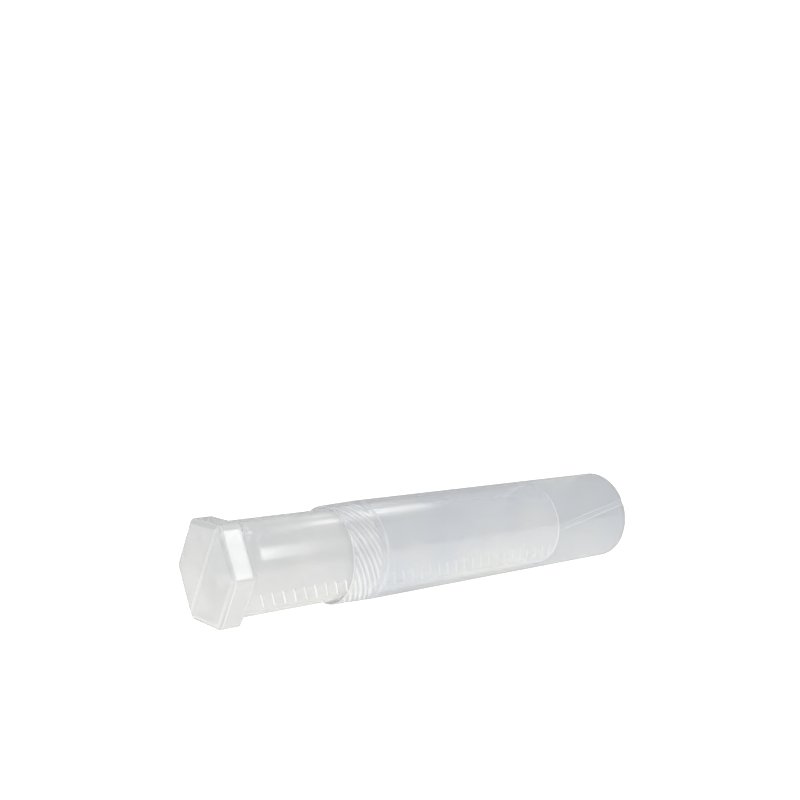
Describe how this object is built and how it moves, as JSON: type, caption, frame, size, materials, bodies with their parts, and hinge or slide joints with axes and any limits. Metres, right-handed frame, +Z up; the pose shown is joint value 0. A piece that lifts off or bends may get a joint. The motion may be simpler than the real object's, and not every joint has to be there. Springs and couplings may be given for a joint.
{
  "type": "telescopic packing tube",
  "caption": "Two-piece telescopic packing tube: outer tube with a helically ribbed neck, and a toothed inner tube with a hexagonal head that slides in it.",
  "frame": {"origin": "under the middle of the whole length, on the surface that the outer tube lies on", "axes": "+X along the common axis from the head to the outer tube's base, +Z up, through the middle of a flat of the head"},
  "size_m": [0.3184, 0.0638, 0.0599],
  "materials": {
    "outer_plastic": "satin",
    "inner_plastic": "satin"
  },
  "bodies": {
    "outer_tube": {"outer_tube": "outer_plastic"},
    "inner_tube": {"inner_tube": "inner_plastic"}
  },
  "joints": [
    {"name": "extend", "type": "slide", "parent": "outer_tube", "child": "inner_tube", "axis": [-1, 0, 0], "range_m": [-0.063, 0.14]}
  ]
}
